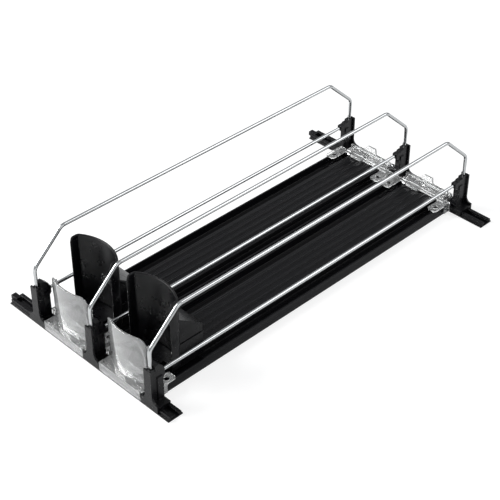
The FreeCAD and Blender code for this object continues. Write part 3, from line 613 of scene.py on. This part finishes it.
def wire_surface(path, radius, sizes):
    """A round tube along a path in an upright plane: a circle across each station, smaller at both ends."""
    angles = np.arange(sizes.sides) * 2 * math.pi / sizes.sides
    circle = np.stack([np.cos(angles), np.sin(angles)], axis=1)
    radii = np.full(len(path), radius)
    radii[[0, -1]] = radius * sizes.end
    return swept(path, [circle * size for size in radii], SIDEWAYS)


def run(name, title, work):
    """An operator class that does one piece of work."""

    def execute(self, context):
        work(context.scene)
        return {"FINISHED"}

    return type(name, (bpy.types.Operator,), {
        "__doc__": work.__doc__,
        "bl_idname": f"organizer.{work.__name__}",
        "bl_label": title,
        "bl_description": work.__doc__,
        "execute": execute,
    })


def upper_wires(scene):
    """Builds the three bent divider wires as smooth chromed tubes"""
    sizes = scene.organizer_wires
    for side in DIVIDERS:
        node = f"{side}_upper_wire"
        (x_low, x_high), (y_low, y_high), (z_low, z_high) = spans(node)
        x = (x_low + x_high) / 2
        radius = (x_high - x_low) / 2
        front = y_low + radius
        rear = y_high - radius
        top = z_high - radius
        end = z_low + sizes.leg_lift
        corners = [(x, front, end), (x, front, sizes.shoulder), (x, front + sizes.slant, top),
                   (x, rear - sizes.slant, top), (x, rear, sizes.shoulder), (x, rear, end)]
        path = rounded_path(corners, sizes.bend, sizes.bend_steps)
        made = piece(f"{node}_tube", wire_surface(path, radius, sizes), finish_of("chrome"))
        place_on(made, frame["nodes"][node]["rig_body"], "chromed_wire", node)


def lower_wires(scene):
    """Builds the three straight divider wires as smooth chromed tubes"""
    sizes = scene.organizer_wires
    for side in DIVIDERS:
        node = f"{side}_lower_wire"
        (x_low, x_high), (y_low, y_high), (z_low, z_high) = spans(node)
        middle = np.array([(x_low + x_high) / 2, 0, (z_low + z_high) / 2])
        radius = (x_high - x_low) / 2
        stations = np.linspace(y_low, y_high, sizes.straight_steps)
        path = middle + stations[:, None] * BACKWARDS
        made = piece(f"{node}_tube", wire_surface(path, radius, sizes), finish_of("chrome"))
        place_on(made, frame["nodes"][node]["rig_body"], "chromed_wire", node)


def trays(scene):
    """Builds the two trays as one rounded cross section with ribs, drawn along the lane"""
    sizes = scene.organizer_trays
    edges = scene.organizer_edges
    for side in LANES:
        node = f"{side}_tray"
        (x_low, x_high), (y_low, y_high), (_, z_high) = spans(node)
        half = (x_high - x_low) / 2
        wall_half = sizes.runway_half - sizes.lip_reach
        hollow = wall_half - sizes.skin
        lip_low = sizes.level - sizes.lip
        right = [(hollow, sizes.level - sizes.skin), (hollow, 0), (half, 0), (half, z_high),
                 (half - sizes.wall, z_high), (half - sizes.wall, sizes.floor), (wall_half, sizes.floor),
                 (wall_half, lip_low), (sizes.runway_half, lip_low), (sizes.runway_half, sizes.level)]
        for number in range(sizes.ribs // 2, 0, -1):
            middle = number * sizes.rib_pitch
            right += rib_outline(middle + sizes.rib_width / 2, middle - sizes.rib_width / 2, sizes)
        right.append((sizes.rib_width / 2, sizes.level))
        right.append((sizes.rib_width / 2, sizes.level + sizes.rib))
        outline = rounded_outline(mirrored(right), edges.round, edges.steps)
        outline[:, 0] += (x_low + x_high) / 2
        surface = extrusion(outline, 1, y_low, y_high, edges.round)
        place_on(piece(f"{node}_section", surface, finish_of("drawn")), "base", "tray_abs", node)


def rib_outline(outer, inner, sizes):
    """The four corners of one glide rib, from its outer side to its inner side."""
    top = sizes.level + sizes.rib
    return [(outer, sizes.level), (outer, top), (inner, top), (inner, sizes.level)]


def rails(scene):
    """Builds the two rails as a slotted cross section with a joining tongue"""
    sizes = scene.organizer_rails
    edges = scene.organizer_edges
    for node in ("front_rail", "rear_rail"):
        (x_low, x_high), (y_low, y_high), (_, z_high) = spans(node)
        middle = (y_low + y_high) / 2
        half = (y_high - y_low) / 2
        outer = half - sizes.inset
        inner = outer - sizes.wall
        slot = sizes.slot / 2
        right = [(half, 0), (half, sizes.plate), (outer, sizes.plate), (outer, z_high), (slot, z_high),
                 (slot, z_high - sizes.lip), (inner, z_high - sizes.lip), (inner, sizes.plate)]
        outline = rounded_outline(mirrored(right), edges.round, edges.steps)
        outline[:, 0] += middle
        channel = extrusion(outline, 0, x_low + sizes.tongue, x_high, edges.round)
        tongue_half = slot - sizes.gap
        key = [(middle - tongue_half, 0), (middle + tongue_half, 0),
               (middle + tongue_half, z_high), (middle - tongue_half, z_high)]
        tongue = extrusion(rounded_outline(key, edges.round, edges.steps), 0, x_low,
                           x_low + sizes.tongue + sizes.tongue_root, edges.round)
        made = piece(f"{node}_section", merged(channel, tongue), finish_of("drawn"))
        place_on(made, "base", "rail_abs", node)


# Steps in a bowed wall's rounded corner, and stations in its side return
CORNER_STEPS = 8
RETURN_STATIONS = 5
# The bowed arc stops short of the wall's side by this share of the side round
CUT_BACK = 0.7


def bowed_path(half, radius, side_return, side_round, steps, direction):
    """A plan path: side return, rounded corner, arc of the radius, rounded corner, side return.

    The arc's outermost point lies at Y zero, and the returns run against the direction.
    """
    edge = math.asin(half / radius)
    angles = np.linspace(-edge, edge, steps)
    arc = np.stack([np.sin(angles) * radius, (np.cos(angles) - 1) * radius * direction], axis=1)
    start = arc[0] - [0, side_return * direction]
    end = arc[-1] - [0, side_return * direction]
    keep = np.abs(arc[:, 0]) < half - side_round * CUT_BACK
    first = corner_arc(start, arc[0], arc[keep][0], side_round, CORNER_STEPS)
    last = corner_arc(arc[keep][-1], arc[-1], end, side_round, CORNER_STEPS)
    straight = np.linspace(0, 1, RETURN_STATIONS)[:-1, None]
    lead = start + (np.array(first[0]) - start) * straight
    tail = (end + (np.array(last[-1]) - end) * straight)[::-1]
    return np.concatenate([lead, first, arc[keep], last, tail])


def stop_panels(scene):
    """Builds the two clear stop panels as bowed walls with rounded corners and plug tabs"""
    sizes = scene.organizer_panels
    edges = scene.organizer_edges
    for side in LANES:
        node = f"{side}_stop_panel"
        (x_low, x_high), (y_low, _), (z_low, z_high) = spans(node)
        x = (x_low + x_high) / 2
        half = (x_high - x_low) / 2
        bottom = z_low + sizes.tab_depth
        path = bowed_path(half, sizes.radius, sizes.side_return, sizes.side_round, sizes.steps, -1)
        beyond = np.clip(np.abs(path[:, 0]) - (half - sizes.corner), 0, sizes.corner)
        tops = z_high - sizes.corner + np.sqrt(sizes.corner ** 2 - beyond ** 2)
        path = path + [x, y_low]
        wall = walled(path, sizes.wall, bottom, tops, sizes.rim, edges.steps)
        tabs = []
        for place in (-sizes.tab_place, sizes.tab_place):
            back = sizes.radius - math.sqrt(sizes.radius ** 2 - sizes.tab_place ** 2)
            front = y_low + back + sizes.tab_inset
            left = x + place - sizes.tab_width / 2
            right = x + place + sizes.tab_width / 2
            top = bottom + sizes.wall
            tab = rounded_outline([(left, z_low), (right, z_low), (right, top), (left, top)],
                                  edges.round, edges.steps)
            tabs.append(extrusion(tab, 1, front, front + sizes.tab_wall, edges.round))
        made = piece(f"{node}_bow", merged(wall, *tabs), finish_of("hazed"))
        place_on(made, "base", "clear_pc", node)


def housing_surface(sizes, x, plate_back):
    """The sloped housing: its rounded side outline carried across, with the front edge in the plate's wall.

    At each station the front lies on a circle about the plate's centre, half a wall inside its radius.
    """
    centre_y = plate_back - sizes.radius
    back = plate_back + sizes.housing_back
    half = sizes.housing_half
    rim = sizes.housing_round
    stations = np.concatenate([[-half], np.linspace(rim - half, half - rim, sizes.housing_steps), [half]])
    rings = []
    for number, station in enumerate(stations):
        front = centre_y + math.sqrt((sizes.radius - sizes.wall / 2) ** 2 - station ** 2)
        roof = sizes.housing_height + (back - front) * sizes.housing_rise
        section = rounded_outline([(front, sizes.housing_low), (back, sizes.housing_low),
                                   (back, sizes.housing_height), (front, roof)], rim, sizes.rim_steps)
        if number in (0, len(stations) - 1):
            section = drawn_in(section, rim)
        rings.append(np.column_stack([np.full(len(section), x + station), section]))
    return skinned(rings)


def pusher_shells(scene):
    """Builds the two pusher plates as bowed gloss walls, with the sloped housing behind each"""
    sizes = scene.organizer_pushers
    for side in LANES:
        node = f"{side}_pusher_shell"
        (x_low, x_high), (y_low, y_high), (z_low, z_high) = spans(node)
        x = (x_low + x_high) / 2
        half = (x_high - x_low) / 2
        plate_back = y_high - sizes.housing_back
        path = bowed_path(half, sizes.radius, sizes.side_return, sizes.side_round, sizes.steps, 1)
        reach = np.clip(y_low + sizes.corner - (path[:, 1] + plate_back), 0, sizes.corner)
        tops = z_high - sizes.corner + np.sqrt(np.maximum(sizes.corner ** 2 - reach ** 2, 0))
        path = path[::-1] + [x, plate_back]
        wall = walled(path, sizes.wall, z_low, tops[::-1], sizes.rim, sizes.rim_steps)
        plate = piece(f"{side}_pusher_plate", wall, finish_of("gloss"))
        place_on(plate, f"{side}_pusher", "pusher_abs", node)
        shape = housing_surface(sizes, x, plate_back)
        housing = piece(f"{side}_pusher_housing", shape, finish_of("gloss"), SMOOTH_HOUSING)
        place_on(housing, f"{side}_pusher", "pusher_abs", node)


def strip_section(half, thickness):
    """The thin rectangle of the band, as (sideways, outwards) corners."""
    face = thickness / 2
    return np.array([(-half, -face), (half, -face), (half, face), (-half, face)])


def spring_bands(scene):
    """Builds the two spring bands, which lengthen along the runway as the pusher goes back"""
    sizes = scene.organizer_springs
    for side in LANES:
        node = f"{side}_spring_band"
        (x_low, x_high), (y_low, _), (z_low, z_high) = spans(node)
        _, (coil_low, coil_high), (coil_bottom, _) = spans(f"{side}_spring_coil")
        x = (x_low + x_high) / 2
        hook_y = y_low + sizes.thickness / 2
        level = z_high - sizes.thickness / 2
        coil_y = (coil_low + coil_high) / 2
        flat_front = y_low + sizes.hook_round * 2
        flat_back = coil_y - sizes.lead
        hook_end = np.array([x, hook_y, z_low])
        coil_end = np.array([x, coil_y, coil_bottom - sizes.thickness])
        flat = [np.array([x, y, level]) for y in np.linspace(flat_front, flat_back, sizes.band_steps)]
        bend = corner_arc(hook_end, np.array([x, hook_y, level]), flat[0], sizes.hook_round, sizes.bend_steps)
        rise = corner_arc(flat[-2], flat[-1], coil_end, sizes.lead_round, sizes.bend_steps)
        path = np.array([hook_end, *bend, *flat[:-2], *rise, coil_end])
        section = strip_section((x_high - x_low) / 2, sizes.thickness)
        surface = swept(path, [section] * len(path), SIDEWAYS)
        band = piece(f"{node}_strip", surface, finish_of("spring"), SMOOTH_BAND)
        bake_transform(band)
        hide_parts(node)


def spring_coils(scene):
    """Builds the two coils as a band wound in a spiral about the drum"""
    sizes = scene.organizer_springs
    for side in LANES:
        node = f"{side}_spring_coil"
        (x_low, x_high), (y_low, y_high), (z_low, z_high) = spans(node)
        drum_low, drum_high = spans(f"{side}_spring_drum")[2]
        hub = (drum_high - drum_low) / 2
        centre = np.array([(x_low + x_high) / 2, (y_low + y_high) / 2, (z_low + z_high) / 2])
        outside = (z_high - z_low) / 2
        angles = np.linspace(0, 2 * math.pi * sizes.turns, sizes.turns * sizes.turn_steps + 1)
        radii = np.linspace(hub + sizes.thickness, outside - sizes.thickness, len(angles))
        spiral = np.stack([np.zeros(len(angles)), np.cos(angles) * radii, np.sin(angles) * radii], axis=1)
        path = centre + spiral
        section = strip_section((x_high - x_low) / 2, sizes.thickness)
        surface = swept(path, [section] * len(path), SIDEWAYS)
        made = piece(f"{node}_spiral", surface, finish_of("spring"), SMOOTH_BAND)
        place_on(made, f"{side}_drum", "spring_steel", node)


def carried_over(scene):
    """Gives the posts, clips, sleds, drums and pins their materials"""
    for side in DIVIDERS:
        paint(f"{side}_front_post", "satin")
        paint(f"{side}_rear_post", "satin")
    for side in LANES:
        paint(f"{side}_front_clip", "hazed")
        paint(f"{side}_rear_clip", "clear")
        paint(f"{side}_pusher_sled", "satin")
        paint(f"{side}_spring_drum", "drum")
        paint(f"{side}_drum_pin", "pin")


# Stage

# What the camera and the lights face, and where the lights stand
TARGET = Vector((0.00395, -0.0143, 0.0198))
KEY_PLACE = Vector((-1.0, -0.8, 0.9))
FILL_PLACE = Vector((1.3, -0.1, 0.7))
BACK_PLACE = Vector((0.65, 0.85, 1.0))
# The camera's sensor in millimetres, and the nearest thing that it shows in metres
SENSOR_WIDTH = 36.0
NEAREST = 0.01


def seen_by_camera(tree):
    """One for what the camera sees, straight or through clear pieces, and zero for all other rays."""
    rays = add_node(tree, "ShaderNodeLightPath").outputs
    return add_node(tree, "ShaderNodeMath", {0: rays["Is Camera Ray"], 1: rays["Is Transmission Ray"]},
                    operation="MAXIMUM").outputs[0]


def floor_material(glow_strength):
    """Matte white sweep: near white to the camera, with the object's shadow kept.

    Reflections and scattered light see plain paper instead.
    """
    material = bpy.data.materials.new("Paper sweep white")
    material.use_nodes = True
    tree = material.node_tree
    tree.nodes.clear()
    seen = seen_by_camera(tree)
    paper = add_node(tree, "ShaderNodeBsdfDiffuse", {"Color": linear("#E6E6E6")})
    shown = add_node(tree, "ShaderNodeBsdfDiffuse", {"Color": linear("#A8A8A8")})
    glow = add_node(tree, "ShaderNodeEmission", {"Color": linear("#FFFFFF"), "Strength": glow_strength})
    lit = add_node(tree, "ShaderNodeAddShader", {0: shown.outputs[0], 1: glow.outputs[0]})
    mix = add_node(tree, "ShaderNodeMixShader", {0: seen, 1: paper.outputs[0], 2: lit.outputs[0]})
    add_node(tree, "ShaderNodeOutputMaterial", {"Surface": mix.outputs[0]})
    return material


def set_world(scene, strength):
    """Grey surroundings that show as white behind the object."""
    world = bpy.data.worlds.new("studio")
    scene.world = world
    world.use_nodes = True
    tree = world.node_tree
    tree.nodes.clear()
    seen = seen_by_camera(tree)
    room = add_node(tree, "ShaderNodeBackground", {"Color": linear("#F4F6F8"), "Strength": strength})
    white = add_node(tree, "ShaderNodeBackground", {"Color": linear("#FFFFFF"), "Strength": 1.0})
    mix = add_node(tree, "ShaderNodeMixShader", {0: seen, 1: room.outputs[0], 2: white.outputs[0]})
    add_node(tree, "ShaderNodeOutputWorld", {"Surface": mix.outputs[0]})


def soft_light(name, place, side, power):
    """A square area light that faces the target."""
    lamp = bpy.data.lights.new(name, "AREA")
    lamp.shape = "SQUARE"
    lamp.size = side
    lamp.energy = power
    holder = bpy.data.objects.new(name, lamp)
    holder.location = place
    holder.rotation_euler = (TARGET - place).to_track_quat("-Z", "Y").to_euler()
    bpy.context.scene.collection.objects.link(holder)


def lay_floor(scene):
    """A square floor just below the object's lowest face."""
    sizes = scene.organizer_stage
    half = sizes.floor_size / 2
    drop = -sizes.floor_drop
    mesh = bpy.data.meshes.new("floor")
    mesh.from_pydata([(-half, -half, drop), (half, -half, drop), (half, half, drop), (-half, half, drop)],
                     [], [(0, 1, 2, 3)])
    mesh.materials.append(floor_material(sizes.floor_glow))
    ground = bpy.data.objects.new("floor", mesh)
    scene.collection.objects.link(ground)


def aim_camera(scene):
    """The camera at its azimuth and elevation, facing the target."""
    sizes = scene.organizer_stage
    camera = bpy.data.cameras.new("camera")
    camera.lens = sizes.lens
    camera.sensor_width = SENSOR_WIDTH
    camera.clip_start = NEAREST
    holder = bpy.data.objects.new("camera", camera)
    back = Vector((math.sin(sizes.azimuth) * math.cos(sizes.elevation),
                   -math.cos(sizes.azimuth) * math.cos(sizes.elevation), math.sin(sizes.elevation)))
    holder.location = TARGET + back * sizes.distance
    holder.rotation_euler = (math.pi / 2 - sizes.elevation, 0, sizes.azimuth)
    scene.collection.objects.link(holder)
    scene.camera = holder


def studio(scene):
    """Sets up the floor, the surroundings, the soft lights and the camera at the photograph's angle"""
    sizes = scene.organizer_stage
    lay_floor(scene)
    set_world(scene, sizes.sky)
    soft_light("key", KEY_PLACE, sizes.key_side, sizes.key)
    soft_light("side", FILL_PLACE, sizes.fill_side, sizes.fill)
    soft_light("back", BACK_PLACE, sizes.back_side, sizes.back)
    aim_camera(scene)
    scene.view_settings.view_transform = "Standard"


OPERATORS = [
    run("ORGANIZER_OT_upper_wires", "Upper wires", upper_wires),
    run("ORGANIZER_OT_lower_wires", "Lower wires", lower_wires),
    run("ORGANIZER_OT_trays", "Trays", trays),
    run("ORGANIZER_OT_rails", "Rails", rails),
    run("ORGANIZER_OT_stop_panels", "Stop panels", stop_panels),
    run("ORGANIZER_OT_pusher_shells", "Pusher shells", pusher_shells),
    run("ORGANIZER_OT_spring_bands", "Spring bands", spring_bands),
    run("ORGANIZER_OT_spring_coils", "Spring coils", spring_coils),
    run("ORGANIZER_OT_carried_over", "Carried-over solids", carried_over),
    run("ORGANIZER_OT_studio", "Stage", studio),
]


class ORGANIZER_PT_panel(bpy.types.Panel):
    """Lists the operators and the settings in the 3D view's sidebar."""

    bl_label = "Can organizer"
    bl_idname = "ORGANIZER_PT_panel"
    bl_space_type = "VIEW_3D"
    bl_region_type = "UI"
    bl_category = "Organizer"

    def draw(self, context):
        for operator in OPERATORS:
            self.layout.operator(operator.bl_idname)
        for name, group in SETTINGS.items():
            box = self.layout.box()
            for field in group.__annotations__:
                box.prop(getattr(context.scene, name), field)


def register():
    """Registers the settings, the operators and the panel."""
    for name, group in SETTINGS.items():
        bpy.utils.register_class(group)
        setattr(bpy.types.Scene, name, PointerProperty(type=group))
    for operator in OPERATORS:
        bpy.utils.register_class(operator)
    bpy.utils.register_class(ORGANIZER_PT_panel)


def unregister():
    """Takes away what register adds, in the opposite order."""
    bpy.utils.unregister_class(ORGANIZER_PT_panel)
    for operator in reversed(OPERATORS):
        bpy.utils.unregister_class(operator)
    for name, group in SETTINGS.items():
        delattr(bpy.types.Scene, name)
        bpy.utils.unregister_class(group)


def main():
    """Registers the add-on, runs every operator in order and writes the CAD box and the visual box."""
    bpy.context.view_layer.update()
    register()
    for operator in OPERATORS:
        getattr(bpy.ops.organizer, operator.bl_idname.split(".")[1])()


if __name__ == "__main__":
    main()
